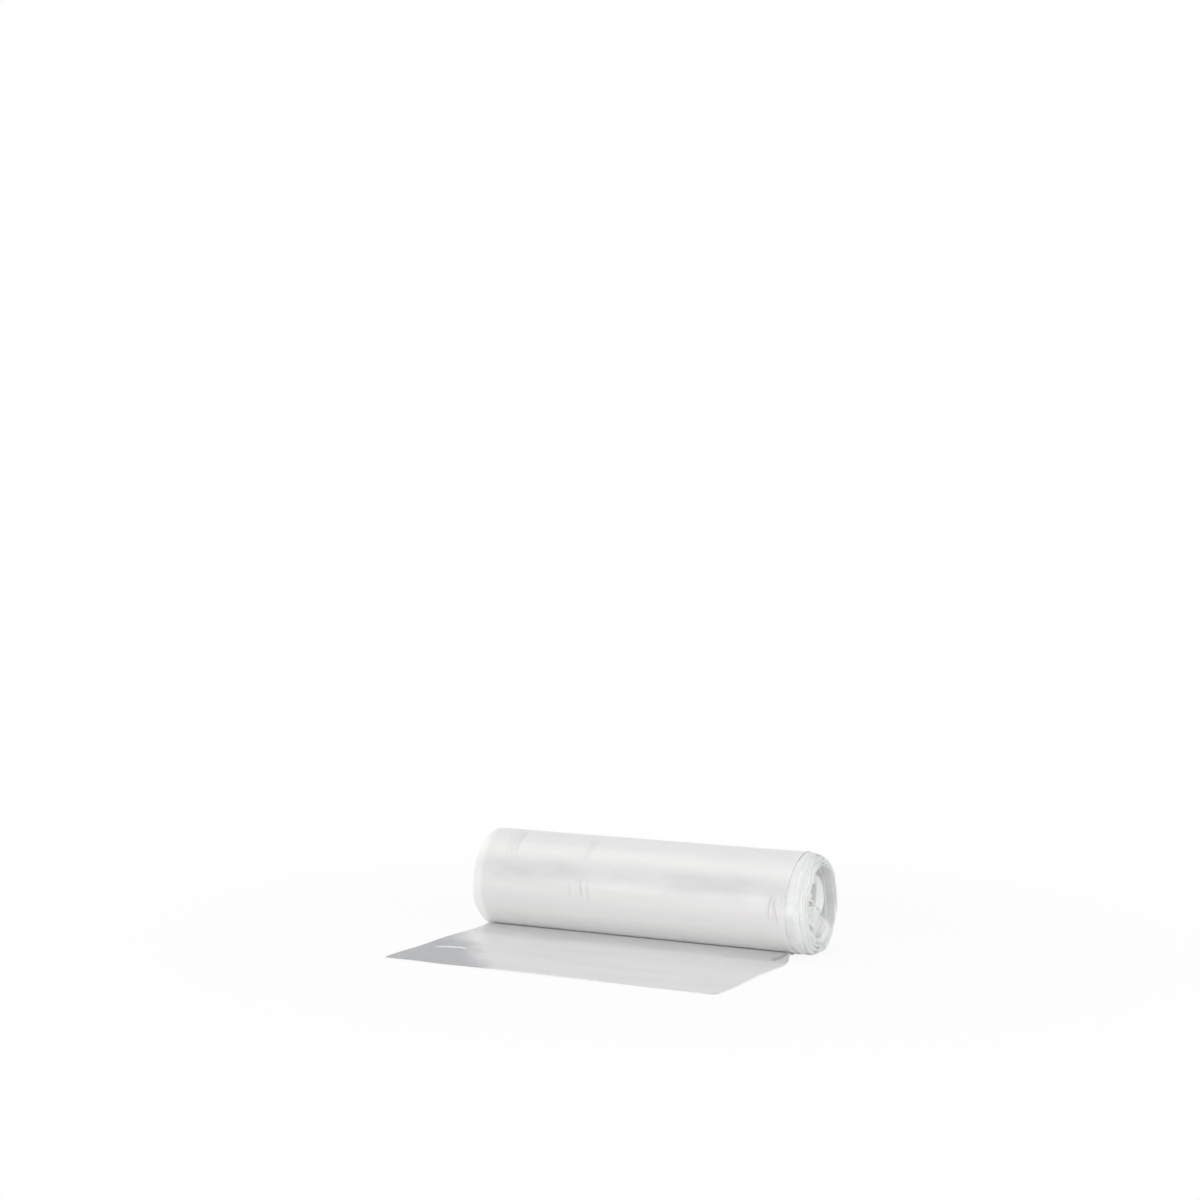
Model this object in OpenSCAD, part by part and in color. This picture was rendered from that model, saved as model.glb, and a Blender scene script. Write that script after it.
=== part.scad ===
// A coreless roll of bin bags: one long web of folded film, wound on itself, with its loose end
// pulled out from under the roll and laid on the table.
// X runs along the roll, the loose end points along -Y, Z is up, and the origin is on the table
// under the middle of the roll.

/* [Web] */
// Width of the folded web of film, from fold to fold
web_w = 210; // [150:1:300]
// Thickness of the web where it lies loose, with the air between its plies
web_t = 0.5; // [0.3:0.05:0.9]
// Length of the loose end, from the line the roll rests on to the torn edge
tail_len = 135; // [40:1:240]

/* [Roll] */
// Outer diameter of the roll
roll_d = 61.4; // [50:0.2:80]
// Thickness of a wound turn deep in the roll, a bundle of the film's real windings. It is evened
// out so that whole turns fill the roll.
turn_t = 2.1; // [1.4:0.1:3]
// Air between one turn and the next
turn_gap = 0.25; // [0.2:0.05:0.4]
// Turns over which the windings grow from the single outer web to a full bundle
thin_turns = 3; // [2:0.5:4]
// Width of the hollow left in the middle, where there is no core
hollow_d = 13; // [10:0.5:16]
// Width of the flat that the soft roll settles on
flat_w = 9.6; // [5:0.2:14]

/* [Ends] */
// Part of the outermost turn that has stayed in line with the loose end
held_turns = 0.8; // [0:0.1:1]
// How far the outermost turn's edges have drifted along the roll on their way down its front
turn_drift = 2.8; // [0:0.2:4]
// How far the fullest turns have slid past the outermost one, along the roll
slide_out = 11.6; // [4:0.2:16]
// Depth below the roll's surface at which the turns have slid furthest
shoulder = 10; // [6:0.2:13]
// Depth of the firm outer turns, down to the turns that have sunk and left a well inside them
firm_t = 7.4; // [6:0.1:10]
// How far the turns in the well have sunk from the fullest ones
well_sink = 13; // [4:0.5:16]
// Width of the well, from the firm turns to the loose innermost ones, a bud that stands up in it
well_w = 4.7; // [3:0.1:7]
// How far the bud has sunk from the fullest turns
bud_sink = 6; // [3:0.5:14]
// How far the bud has slumped away from the turns round it at each side
slump = 2.4; // [1:0.1:4]
// How far the bud's turns are dented where they have crumpled
crumple = 1.2; // [0:0.1:1.8]
// How far each turn's edge wanders in and out along the roll
edge_wander = 0.8; // [0:0.1:1.5]

/* [Hidden] */
film_colour = [0.90, 0.90, 0.89];

roll_r = roll_d / 2;
flat_angle = asin(flat_w / 2 / roll_r);
centre_z = roll_r * cos(flat_angle);

// Facets in one turn, in the curl inside the hollow, and along the loose end
turn_facets = 46;
curl_facets = 18;
tail_facets = 6;

// How square the shoulder is: 2 makes it a quarter of an ellipse
shoulder_power = 2.5;

// Crumples round the bud, and the angle that sets where they fall
crumples = 3;
crumple_start = 35;

// The edge wanders in two waves: how many of each there are to a turn, the share of the slow one
// and the angle it starts at
slow_waves = 0.83;
quick_waves = 2.3;
slow_share = 0.6;
slow_start = 60;

// Turns in from the loose end where the drift starts, where it is full and where it has gone again
drift_start = 0.5;
drift_full = 1;
drift_end = 1.6;

// The curl's swing, how far it closes in on the middle, its thickness at the end and its sink
curl_angle = 190;
curl_in = 0.62;
curl_t = 1.1;
curl_sink = 2.5;

// Depth that the thin outer pitches take, and what is left for full ones down to the hollow
outer_pitch = web_t + turn_gap;
thin_depth = outer_pitch * (1 + thin_turns / 2);
full_depth = roll_r - hollow_d / 2 + turn_gap - thin_depth;

// Whole turns from the loose end to the curl in the hollow, and the pitch that makes them fit
last_turn = round(full_depth / (turn_t + turn_gap) + thin_turns / 2);
inner_pitch = full_depth / (last_turn - thin_turns / 2);

well_r = roll_r - firm_t;
bud_r = well_r - well_w;
// Radial distance over which a slide or a slump comes in, a full turn of the web
blend = inner_pitch;

function clamped(t) = min(1, max(0, t));
function eased(t) = let (s = clamped(t)) s * s * (3 - 2 * s);

// Depth of the web's outer face below the roll's surface, so many turns in from the loose end
function depth(turns) =
    let (growing = clamped((turns - 1) / thin_turns) * thin_turns,
         full = max(0, turns - 1 - thin_turns))
    outer_pitch * turns + (inner_pitch - outer_pitch) * (growing * growing / 2 / thin_turns + full);

function thickness(turns) = depth(turns + 1) - depth(turns) - turn_gap;

last_turn_r = roll_r - depth(last_turn);

// Angle from the resting line, up the back of the roll, over the top and down its front. A turn's
// last facet and the next one's first are the two edges of the flat, with nothing between them.
function facet_angle(i) = flat_angle + i * (360 - 2 * flat_angle) / (turn_facets - 1);

// How far the turns at a radius are inside a limit, from 0 to 1
function inside(limit, radius) = eased((limit + blend - radius) / blend);

// Inward lean of the bud's turns: the slump is most at the two sides, the crumples go all round
function lean(angle) =
    slump * pow(sin(angle), 2) + crumple * pow(sin(crumples / 2 * angle + crumple_start), 2);

// Shortening that takes the round bottom of each turn to the flat
function flat_share(angle) =
    let (from_bottom = min(angle, 360 - angle))
    from_bottom < flat_angle ? cos(flat_angle) / cos(from_bottom) : 1;

function on_turn(radius, angle) =
    let (r = (radius - lean(angle) * inside(bud_r, radius)) * flat_share(angle))
    [r * sin(angle), centre_z - r * cos(angle)];

// Where a turn's edge lies along the roll: the turns step out over the shoulder, sink into the
// well and stand up again in the bud. The middle of the shoulder's travel is the middle of the roll.
function slide(radius) =
    let (below = clamped((roll_r - radius - held_turns * outer_pitch) / shoulder),
         out = pow(1 - pow(1 - below, shoulder_power), 1 / shoulder_power),
         sunk = well_sink * inside(well_r, radius) - (well_sink - bud_sink) * inside(bud_r, radius))
    slide_out * (out - 0.5) - sunk;

// How far a turn's edge strays from that: it wanders, more so past the outermost turn, and drifts
// back where that turn was pulled askew
function strayed(turns) =
    let (slow = sin(360 * turns * slow_waves + slow_start),
         quick = sin(360 * turns * quick_waves),
         drift = eased((turns - drift_start) / (drift_full - drift_start))
               - eased((turns - drift_full) / (drift_end - drift_full)))
    edge_wander * (slow_share * slow + (1 - slow_share) * quick) * clamped(turns)
    - turn_drift * drift;

// A stop is [outer face, inner face, slide]: where the web's two faces are in the end view, and
// how far it has slid along the roll there
function wound_stop(radius, angle, t, slid) =
    let (outer = on_turn(radius, angle),
         share = flat_share(angle))
    [outer, outer + t * share * [-sin(angle), cos(angle)], slid];

loose_stops = [
    for (i = [0:tail_facets - 1])
        let (y = -tail_len + i / tail_facets * (tail_len + flat_w / 2))
        [[y, 0], [y, web_t], slide(roll_r)]
];

wound_stops = [
    for (turn = [0:last_turn - 1], i = [0:turn_facets - 1])
        let (angle = facet_angle(i),
             turns = turn + angle / 360,
             radius = roll_r - depth(turns))
        wound_stop(radius, angle, thickness(turns), slide(radius) + strayed(turns))
];

// The start of the web, curled into the hollow and thinning to a few windings
curl_stops = [
    for (i = [0:curl_facets])
        let (way = i / curl_facets,
             radius = last_turn_r * (1 - curl_in * way),
             t = thickness(last_turn) + (curl_t - thickness(last_turn)) * way,
             slid = slide(last_turn_r) + strayed(last_turn) - curl_sink * way)
        wound_stop(radius, curl_angle * way, t, slid)
];

stops = concat(loose_stops, wound_stops, curl_stops);
last_stop = len(stops) - 1;

// The web's section at a stop: its two faces, and the folds that stand a little proud at its edges
function section(i) =
    let (outer = stops[i][0],
         inner = stops[i][1],
         middle = (outer + inner) / 2,
         fold = norm(outer - inner) / 2,
         left = stops[i][2] - web_w / 2,
         right = stops[i][2] + web_w / 2)
    [
        [left + fold, outer.x, outer.y],
        [left, middle.x, middle.y],
        [left + fold, inner.x, inner.y],
        [right - fold, inner.x, inner.y],
        [right, middle.x, middle.y],
        [right - fold, outer.x, outer.y],
    ];

section_points = 6;

// The whole web, lofted through its sections from the torn edge to its start in the hollow
module liner_roll() {
    points = [for (i = [0:last_stop]) each section(i)];
    sides = [
        for (i = [0:last_stop - 1], j = [0:section_points - 1])
            let (a = i * section_points + j,
                 b = i * section_points + (j + 1) % section_points,
                 c = b + section_points,
                 d = a + section_points)
            each [[a, c, b], [a, d, c]]
    ];
    torn_edge = [for (j = [0:section_points - 1]) j];
    curled_end = [for (j = [0:section_points - 1]) (last_stop + 1) * section_points - 1 - j];
    color(film_colour)
        polyhedron(points, concat(sides, [torn_edge, curled_end]), convexity = 20);
}

liner_roll();
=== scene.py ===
"""A coreless roll of bin bags, lying on its side with its loose end pulled out flat in front.

The roll is one long web of folded film. It is modelled as that web: a flattened tube, laid on the
table for its loose end and wound in a spiral from the outside in. Lengths are metres. X runs along
the roll, the loose end points along -Y, Z is up, and the origin is on the table under the roll.
"""

import logging
import math
from abc import ABC, abstractmethod
from collections.abc import Callable, Sequence
from dataclasses import dataclass
from enum import Enum
from typing import Generic, TypeVar

import bmesh
import bpy
from mathutils import Matrix, Vector, noise


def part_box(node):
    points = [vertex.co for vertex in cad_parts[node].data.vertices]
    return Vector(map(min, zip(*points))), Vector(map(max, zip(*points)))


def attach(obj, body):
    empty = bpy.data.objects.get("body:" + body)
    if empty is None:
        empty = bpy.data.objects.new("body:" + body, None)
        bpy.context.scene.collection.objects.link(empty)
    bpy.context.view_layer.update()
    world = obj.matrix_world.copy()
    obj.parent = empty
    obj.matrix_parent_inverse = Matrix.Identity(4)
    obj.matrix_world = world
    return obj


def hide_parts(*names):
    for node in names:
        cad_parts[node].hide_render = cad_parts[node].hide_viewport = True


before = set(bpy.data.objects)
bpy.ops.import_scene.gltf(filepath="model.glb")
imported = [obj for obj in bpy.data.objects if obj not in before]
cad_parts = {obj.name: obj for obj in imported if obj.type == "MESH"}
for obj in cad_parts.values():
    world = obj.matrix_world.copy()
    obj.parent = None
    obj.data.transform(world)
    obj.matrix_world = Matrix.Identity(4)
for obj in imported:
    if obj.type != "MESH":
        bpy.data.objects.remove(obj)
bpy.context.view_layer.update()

NODE = "liner_roll"
BODY = "root"
MILLI = 0.001
MERGE_DISTANCE = MILLI * MILLI
OCTAVE_SHIFT = 7.3
WHITE = (1.0, 1.0, 1.0, 1.0)

LOG = logging.getLogger("bin_bag_roll")

Colour = tuple[float, float, float, float]
Spot = tuple[float, float]


class Hold(Enum):
    """How a stretch of the web is held."""

    LAID = "laid"
    WOUND = "folded"


def clamped(share: float) -> float:
    """Returns share, kept between 0 and 1."""
    return min(1.0, max(0.0, share))


def eased(share: float) -> float:
    """Returns share, kept between 0 and 1, with a soft start and a soft end."""
    kept = clamped(share)
    return kept * kept * (3 - 2 * kept)


def waves(x: float, y: float, z: float, octaves: int = 1) -> float:
    """Returns smooth noise at a place.

    Args:
        x: First part of the place, in waves.
        y: Its second part.
        z: Its third part.
        octaves: Number of layers, each half as wide and as high as the one before.

    Returns:
        The noise, from about -1 to 1.
    """
    total, size = 0.0, 1.0
    for octave in range(octaves):
        scale = 2.0**octave
        total += size * noise.noise(Vector((x * scale, y * scale, z * scale + OCTAVE_SHIFT * octave)))
        size /= 2
    return total


def round_waves(angle: float, count: float, layer: float) -> float:
    """Returns smooth noise round a circle: about count waves, different in each layer."""
    reach = count / 4
    return waves(math.cos(angle) * reach, math.sin(angle) * reach, layer)


def steps(start: float, stop: float, count: int) -> list[float]:
    """Returns count + 1 evenly spaced values from start to stop."""
    return [start + (stop - start) * i / count for i in range(count + 1)]


def spaced(start: float, stop: float, cell: float, fine_cell: float,
           near: Callable[[float], bool]) -> list[float]:
    """Spaces values out, closer together at details.

    Args:
        start: First value.
        stop: Last value.
        cell: Distance from one value to the next.
        fine_cell: That distance at a detail.
        near: Says whether a value is at a detail.

    Returns:
        The values, rising.
    """
    values, at = [], start
    while at < stop - fine_cell / 2:
        values.append(at)
        at += fine_cell if near(at) or near(at + cell) else cell
    return [*values, stop]


def linked(name: str, data: bpy.types.ID) -> bpy.types.Object:
    """Adds an object to the scene.

    Args:
        name: Its name.
        data: Its mesh, lamp or camera.

    Returns:
        The object, at the origin.
    """
    made = bpy.data.objects.new(name, data)
    bpy.context.scene.collection.objects.link(made)
    return made


def meshed(name: str, mesh: bmesh.types.BMesh) -> bpy.types.Object:
    """Adds an object to the scene from a finished mesh, which is then freed.

    Args:
        name: Name of the object and its mesh.
        mesh: The mesh.

    Returns:
        The object, at the origin.
    """
    data = bpy.data.meshes.new(name)
    mesh.to_mesh(data)
    mesh.free()
    return linked(name, data)


def fold_rows(width: float, rows: Sequence[float]) -> list[float]:
    """Returns the distances across a web at rows that many millimetres in from each fold."""
    left = [-width / 2 + row * MILLI for row in rows]
    return left + [-x for x in reversed(left)]


@dataclass(frozen=True)
class Line:
    """A line across the web, from fold to fold.

    Attributes:
        run: Distance along the web from the line the roll rests on, below 0 on the loose end.
    """

    run: float


@dataclass(frozen=True)
class Stop(Line):
    """A line across the loose end or a turn, and where it lies.

    Attributes:
        turns: Turns wound in so far, 0 on the loose end.
        angle: Angle from the resting line, up the back of the roll, in radians.
        radius: Radius of the web's outer face.
        slid: How far the web has slid along the roll.
    """

    turns: float
    angle: float
    radius: float
    slid: float

    @property
    def wound(self) -> bool:
        """Returns whether the line is on the roll and not on the table."""
        return self.turns > 0


@dataclass(frozen=True)
class Bend(Line):
    """A line across the crumpled start of the web, in the roll's hollow.

    Attributes:
        middle: (Y, Z) from the roll's axis.
        inward: Unit (Y, Z) across the film there.
        slid: How far the web has slid along the roll.
    """

    middle: Vector
    inward: Vector
    slid: float


@dataclass(frozen=True)
class Winding:
    """The way that the web takes: flat on the table, then round the roll from the outside in.

    Attributes:
        web_width: Width of the folded web, from fold to fold.
        roll_diameter: Diameter of the roll.
        flat_width: Width of the flat that it has settled on.
        web_thickness: Thickness of the folded web.
        pitch: Distance from one turn to the next.
        clump_turns: Turns that cling together near the surface.
        clumps: Number of such clumps.
        clump_gap: Extra air between two clumps.
        clump_opening: Share of a clump's turns over which that air comes in.
        held_depth: Depth of the film that has stayed in line with the loose end.
        turn_drift: How far the outermost turn has drifted along the roll, down its front.
        drift_turns: Turns in at which that starts, is full and has gone again.
        slide_out: How far the fullest turns have slid past the outermost one.
        shoulder: Depth at which they have.
        shoulder_power: How square the shoulder is, 2 for a quarter of an ellipse.
        sag: How far the turns that stick out have sagged towards the table.
        sag_limit: The most that they have, as a share of the room below them.
        sag_start: How far above the axis the sag starts, as a share of a turn's radius.
        firm_thickness: Depth of the firm turns, down to the well.
        well_width: Width of the well.
        well_sink: How far its turns have sunk.
        well_fill: Share of that sink that the lowest part of the well lacks.
        bud_sink: How far the bud inside the well has sunk.
        front_sink: How much further its innermost turns have, at the front.
        front_reach: Distance over which that comes in.
        step: Distance over which a sink comes in.
        blend: Distance over which a slump comes in.
        slump: How far the bud has slumped inwards at its sides.
        heave: How far the well, and then the bud, are pushed up from below.
        squeeze: Share of the bud's thickness that is squeezed out at its top.
        squeeze_power: How narrow that top is.
        squeeze_reach: Distance over which the squeeze comes in.
        crumple: Depth of the dents round the bud.
        crumples: Number of those dents, for each half turn.
        crumple_start: Angle that sets where they fall.
        low_part: Cosine of the angle where the roll's lowest part starts, and its rise until
            that is full.
        bulge: Height of the soft bulges of the roll's body.
        bulges: Waves round the roll, their length, layer and share, for each kind of bulge.
        bulge_rise: Height above the table over which they come in.
    """

    web_width: float = 210 * MILLI
    roll_diameter: float = 61.4 * MILLI
    flat_width: float = 9.6 * MILLI
    web_thickness: float = 0.22 * MILLI
    pitch: float = 0.30 * MILLI
    clump_turns: float = 6.0
    clumps: float = 4.0
    clump_gap: float = 0.3 * MILLI
    clump_opening: float = 0.25
    held_depth: float = 0.25 * MILLI
    turn_drift: float = 2.8 * MILLI
    drift_turns: tuple[float, float, float] = (0.5, 1.0, 1.6)
    slide_out: float = 11.6 * MILLI
    shoulder: float = 10 * MILLI
    shoulder_power: float = 2.5
    sag: float = 1.2 * MILLI
    sag_limit: float = 0.8
    sag_start: float = 0.3
    firm_thickness: float = 7.4 * MILLI
    well_width: float = 4.7 * MILLI
    well_sink: float = 13 * MILLI
    well_fill: float = 0.85
    bud_sink: float = 6 * MILLI
    front_sink: float = 5.5 * MILLI
    front_reach: float = 7 * MILLI
    step: float = 0.9 * MILLI
    blend: float = 2.4 * MILLI
    slump: float = 2.4 * MILLI
    heave: float = 2.0 * MILLI
    squeeze: float = 0.55
    squeeze_power: int = 6
    squeeze_reach: float = 1 * MILLI
    crumple: float = 1.2 * MILLI
    crumples: int = 3
    crumple_start: float = math.radians(35)
    low_part: Spot = (0.4, 0.3)
    bulge: float = 0.2 * MILLI
    bulges: tuple[tuple[float, float, float, float], ...] = (
        (9, 160 * MILLI, 0.0, 1.0), (24, 80 * MILLI, 5.0, 0.5),
    )
    bulge_rise: float = 9 * MILLI

    @property
    def roll_radius(self) -> float:
        """Returns the roll's radius."""
        return self.roll_diameter / 2

    @property
    def flat_angle(self) -> float:
        """Returns half the angle that the flat takes at the roll's axis."""
        return math.asin(self.flat_width / 2 / self.roll_radius)

    @property
    def centre_height(self) -> float:
        """Returns the height of the roll's axis."""
        return self.roll_radius * math.cos(self.flat_angle)

    @property
    def well_radius(self) -> float:
        """Returns the radius inside the firm turns, where the well begins."""
        return self.roll_radius - self.firm_thickness

    @property
    def bud_radius(self) -> float:
        """Returns the radius of the bud that stands in the well."""
        return self.well_radius - self.well_width

    def depth(self, turns: float) -> float:
        """Returns how deep the web lies below the roll's surface.

        Args:
            turns: Turns in from the loose end.

        Returns:
            Depth of the web's outer face.
        """
        clumps = min(turns / self.clump_turns, self.clumps)
        whole = math.floor(clumps)
        opened = whole + eased((clumps - whole - 1) / self.clump_opening + 1)
        return self.pitch * turns + self.clump_gap * opened

    @staticmethod
    def inside(limit: float, radius: float, reach: float) -> float:
        """Returns how far a radius is inside a limit, from 0 to 1, coming in over a reach."""
        return eased((limit + reach - radius) / reach)

    def lowness(self, angle: float) -> float:
        """Returns 1 in the lowest part of the roll, and 0 from a little below its axis up."""
        start, rise = self.low_part
        return eased((math.cos(angle) - start) / rise)

    def slide(self, radius: float, angle: float) -> float:
        """Returns how far the web has slid along the roll.

        Args:
            radius: Radius of the web's outer face there.
            angle: Angle round the roll.

        Returns:
            Distance along +X.
        """
        below = clamped((self.roll_radius - radius - self.held_depth) / self.shoulder)
        out = (1 - (1 - below) ** self.shoulder_power) ** (1 / self.shoulder_power)
        sink = self.well_sink * (1 - self.well_fill * self.lowness(angle))
        sunk = sink * self.inside(self.well_radius, radius, self.step)
        risen = (sink - self.bud_sink) * self.inside(self.bud_radius, radius, self.step)
        within = eased((self.bud_radius - radius) / self.front_reach)
        slipped = self.front_sink * within * max(0.0, -math.sin(angle))
        return self.slide_out * (out - 0.5) - sunk + risen - slipped

    def drift(self, turns: float) -> float:
        """Returns how far the web has drifted back along the roll.

        Args:
            turns: Turns in from the loose end.

        Returns:
            Distance along -X.
        """
        start, full, end = self.drift_turns
        share = eased((turns - start) / (full - start)) - eased((turns - full) / (end - full))
        return self.turn_drift * share

    def lean(self, angle: float, radius: float) -> float:
        """Returns how far the web has moved in towards the roll's axis.

        Args:
            angle: Angle round the roll.
            radius: Radius of the web's outer face before that.

        Returns:
            Distance inwards, the slump, the dents, the heave and the squeeze together.
        """
        slumped = self.slump * math.sin(angle) ** 2
        dented = self.crumple * math.sin(self.crumples / 2 * angle + self.crumple_start) ** 2
        in_bud = self.inside(self.bud_radius, radius, self.blend)
        loose_from = self.well_radius + self.blend
        pushed = clamped((loose_from - radius) / (loose_from - self.bud_radius)) + in_bud
        into = max(0.0, self.bud_radius - radius)
        opened = (1 - self.squeezed(angle, radius)) * into
        return (slumped + dented) * in_bud + self.heave * pushed * self.lowness(angle) - opened

    def squeezed(self, angle: float, radius: float) -> float:
        """Returns the share of its thickness that the web keeps, under 1 at the bud's top."""
        top = max(0.0, -math.cos(angle)) ** self.squeeze_power
        return 1 - self.squeeze * top * eased((self.bud_radius - radius) / self.squeeze_reach)

    def drop(self, x: float, angle: float) -> float:
        """Returns how far the turns that stick out have sagged.

        Args:
            x: X of the place.
            angle: Angle round the roll.

        Returns:
            Distance downwards.
        """
        out = clamped((x - (self.web_width - self.slide_out) / 2) / self.slide_out)
        below = 1 - (1 - out**self.shoulder_power) ** (1 / self.shoulder_power)
        room = self.sag_limit * self.shoulder * below
        return min(self.sag, room) * eased(math.cos(angle) + self.sag_start)

    def loose(self, run: float) -> Stop:
        """Returns the line across the loose end at a run, which is below half the flat's width."""
        return Stop(run, 0.0, 0.0, self.roll_radius, self.slide(self.roll_radius, 0.0))

    def wound(self, turns: float) -> Stop:
        """Returns the line across the web where it is wound.

        Args:
            turns: Turns in from the loose end.

        Returns:
            The line.
        """
        radius = self.roll_radius - self.depth(turns)
        mean = (self.roll_radius + radius) / 2
        angle = math.tau * (turns % 1.0)
        slid = self.slide(radius, angle) - self.drift(turns)
        return Stop(math.tau * mean * turns, turns, angle, radius, slid)

    def flat_share(self, angle: float) -> float:
        """Returns the share of its radius that a turn keeps, as the roll is flattened.

        Args:
            angle: Angle round the roll, from 0 to a full turn.

        Returns:
            The share, 1 away from the flat.
        """
        from_bottom = min(angle, math.tau - angle)
        if from_bottom >= self.flat_angle:
            return 1.0
        return math.cos(self.flat_angle) / math.cos(from_bottom)

    def point(self, stop: Stop, x: float, depth: float, lift: float) -> Vector:
        """Places a point of the web.

        Args:
            stop: The line across the web that the point is on.
            x: Its X.
            depth: Distance in from the web's outer face.
            lift: How far the web stands off its own winding, or off the table.

        Returns:
            Where the point lies.
        """
        if not stop.wound:
            return Vector((x, stop.run, depth + lift))
        angle, radius = stop.angle, stop.radius
        kept = depth * self.squeezed(angle, radius)
        r = (radius - kept + lift - self.lean(angle, radius)) * self.flat_share(angle)
        z = self.centre_height - r * math.cos(angle) - self.drop(x, angle)
        return Vector((x, r * math.sin(angle), z))

    def unevenness(self, stop: Stop, x: float) -> float:
        """Returns how far the roll's body bulges, in soft bands that run along it.

        Args:
            stop: The line across the web.
            x: X of the place on it.

        Returns:
            Distance outwards.
        """
        bulging = sum(share * round_waves(stop.angle, count, x / length + layer)
                      for count, length, layer, share in self.bulges)
        height = self.centre_height * (1 - math.cos(stop.angle))
        return self.bulge * bulging * eased(height / self.bulge_rise)


class FilmTube:
    """A stretch of the web as a closed flattened tube, with rounded folds and pinched ends."""

    ATTRIBUTE = "web"
    SWELL_FADE = 3

    def __init__(self, name: str, stops: Sequence[Line], columns: Sequence[float],
                 thickness: float, place: Callable[[Line, float, float], Vector],
                 swell: float = 1.0, swell_reach: float = 1.5 * MILLI) -> None:
        """Takes what the mesh is built from.

        Args:
            name: Name of the object and its mesh.
            stops: The lines across the web, from its loose end inwards.
            columns: Distances from the web's middle, from its -X fold to its +X fold.
            thickness: Thickness of the web.
            place: Gives the point at a stop, a distance across and a depth.
            swell: How many times as thick the web is at its folds.
            swell_reach: How far in from a fold it is thicker.
        """
        self.name = name
        self.stops = stops
        self.columns = list(columns)
        self.thickness = thickness
        self.place = place
        self.swell = swell
        self.swell_reach = swell_reach

    def ring(self) -> list[Spot]:
        """Returns the points of the tube's section, by its outer face from its +X fold.

        Returns:
            (across, share of the thickness) of each point, the first and the last the same.
        """
        inner = self.columns[1:-1]
        right, left = self.columns[-1], self.columns[0]
        outer_face = [(x, 0.0) for x in reversed(inner)]
        inner_face = [(x, 1.0) for x in inner]
        return [(right, 0.5), *outer_face, (left, 0.5), *inner_face, (right, 0.5)]

    def depth(self, across: float, share: float) -> float:
        """Returns the depth of a point of the ring.

        Args:
            across: Its distance across the web.
            share: Its share of the thickness.

        Returns:
            Depth from the web's outer face, where its folds are no thicker than the rest.
        """
        from_fold = min(across - self.columns[0], self.columns[-1] - across)
        faded = (from_fold / self.swell_reach - 1) / self.SWELL_FADE
        swollen = 1 + (self.swell - 1) * eased(1 - faded)
        in_fold = 1 - clamped(from_fold / (self.thickness * self.swell / 2))
        return self.thickness * (0.5 + (share - 0.5) * swollen * math.sqrt(1 - in_fold * in_fold))

    def build(self) -> bpy.types.Object:
        """Builds the tube, smooth and closed.

        Returns:
            The tube as an object at the origin.
        """
        ring, last = self.ring(), len(self.stops) - 1
        mesh = bmesh.new()
        flow = mesh.verts.layers.float_vector.new(self.ATTRIBUTE)
        bmesh.ops.create_grid(mesh, x_segments=len(ring) - 1, y_segments=last, size=1.0)
        seams = []
        for vertex in mesh.verts:
            column = round((vertex.co.x + 1) / 2 * (len(ring) - 1))
            row = round((vertex.co.y + 1) / 2 * last)
            across, share = ring[column]
            if row in (0, last):
                share = 0.5
            if row in (0, last) or column in (0, len(ring) - 1):
                seams.append(vertex)
            stop = self.stops[row]
            vertex[flow] = Vector((across, stop.run, share))
            vertex.co = self.place(stop, across, self.depth(across, share))
        bmesh.ops.remove_doubles(mesh, verts=seams, dist=MERGE_DISTANCE)
        for face in mesh.faces:
            face.smooth = True
        return meshed(self.name, mesh)


@dataclass(frozen=True)
class Crease:
    """A sharp little ridge in the outermost film, from one place on it to another.

    Attributes:
        start: (run in metres or angle in degrees, X) where it starts.
        end: (run in metres or angle in degrees, X) where it ends.
        height: How far the ridge stands up.
        width: Half its width at the foot.
    """

    start: Spot
    end: Spot
    height: float
    width: float

    OVERRUN = 0.05
    END_SLOPE = 3
    FAR = 3

    def lift(self, along: float, x: float, unit: float) -> float:
        """Returns how far the ridge lifts the film at a place.

        Args:
            along: Run or angle of the place.
            x: X of the place.
            unit: Length of one unit of along on the film.

        Returns:
            The ridge's height there.
        """
        ax, ay = self.start[1], self.start[0] * unit
        bx, by = self.end[1], self.end[0] * unit
        dx, dy = bx - ax, by - ay
        length = math.hypot(dx, dy)
        px, py = x - ax, along * unit - ay
        share = (px * dx + py * dy) / length**2
        off = (px * dy - py * dx) / length / self.width
        if abs(off) > self.FAR:
            return 0.0
        from_start, from_end = share + self.OVERRUN, 1 + self.OVERRUN - share
        ends = eased(self.END_SLOPE * from_start) * eased(self.END_SLOPE * from_end)
        return self.height * ends * math.exp(-off * off)


AnyLine = TypeVar("AnyLine", bound=Line)


@dataclass
class Stretch(ABC, Generic[AnyLine]):
    """A stretch of the web, one piece of film. Each kind lays it in its own way.

    Attributes:
        name: Name of the piece.
        winding: The way that the web takes.
    """

    name: str
    winding: Winding

    HOLD = Hold.WOUND

    @property
    @abstractmethod
    def swell(self) -> float:
        """Returns how many times as thick the web is at its folds."""

    @abstractmethod
    def columns(self) -> list[float]:
        """Returns the distances from the web's middle, from its -X fold to its +X fold."""

    @abstractmethod
    def stops(self) -> list[AnyLine]:
        """Returns the lines across the web, from its loose end inwards."""

    @abstractmethod
    def place(self, stop: AnyLine, across: float, depth: float) -> Vector:
        """Returns where a point lies, so far across on a line and so deep in the web."""

    def build(self, finish: "FilmFinish") -> bpy.types.Object:
        """Builds the piece, dressed in its finish, and gives it its place in the frame.

        Args:
            finish: Its finish.

        Returns:
            The piece.
        """
        stops, w = self.stops(), self.winding
        tube = FilmTube(self.name, stops, self.columns(), w.web_thickness, self.place, self.swell)
        piece = tube.build()
        piece.data.materials.append(finish.material())
        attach(piece, BODY)
        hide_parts(NODE)
        return piece


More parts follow.
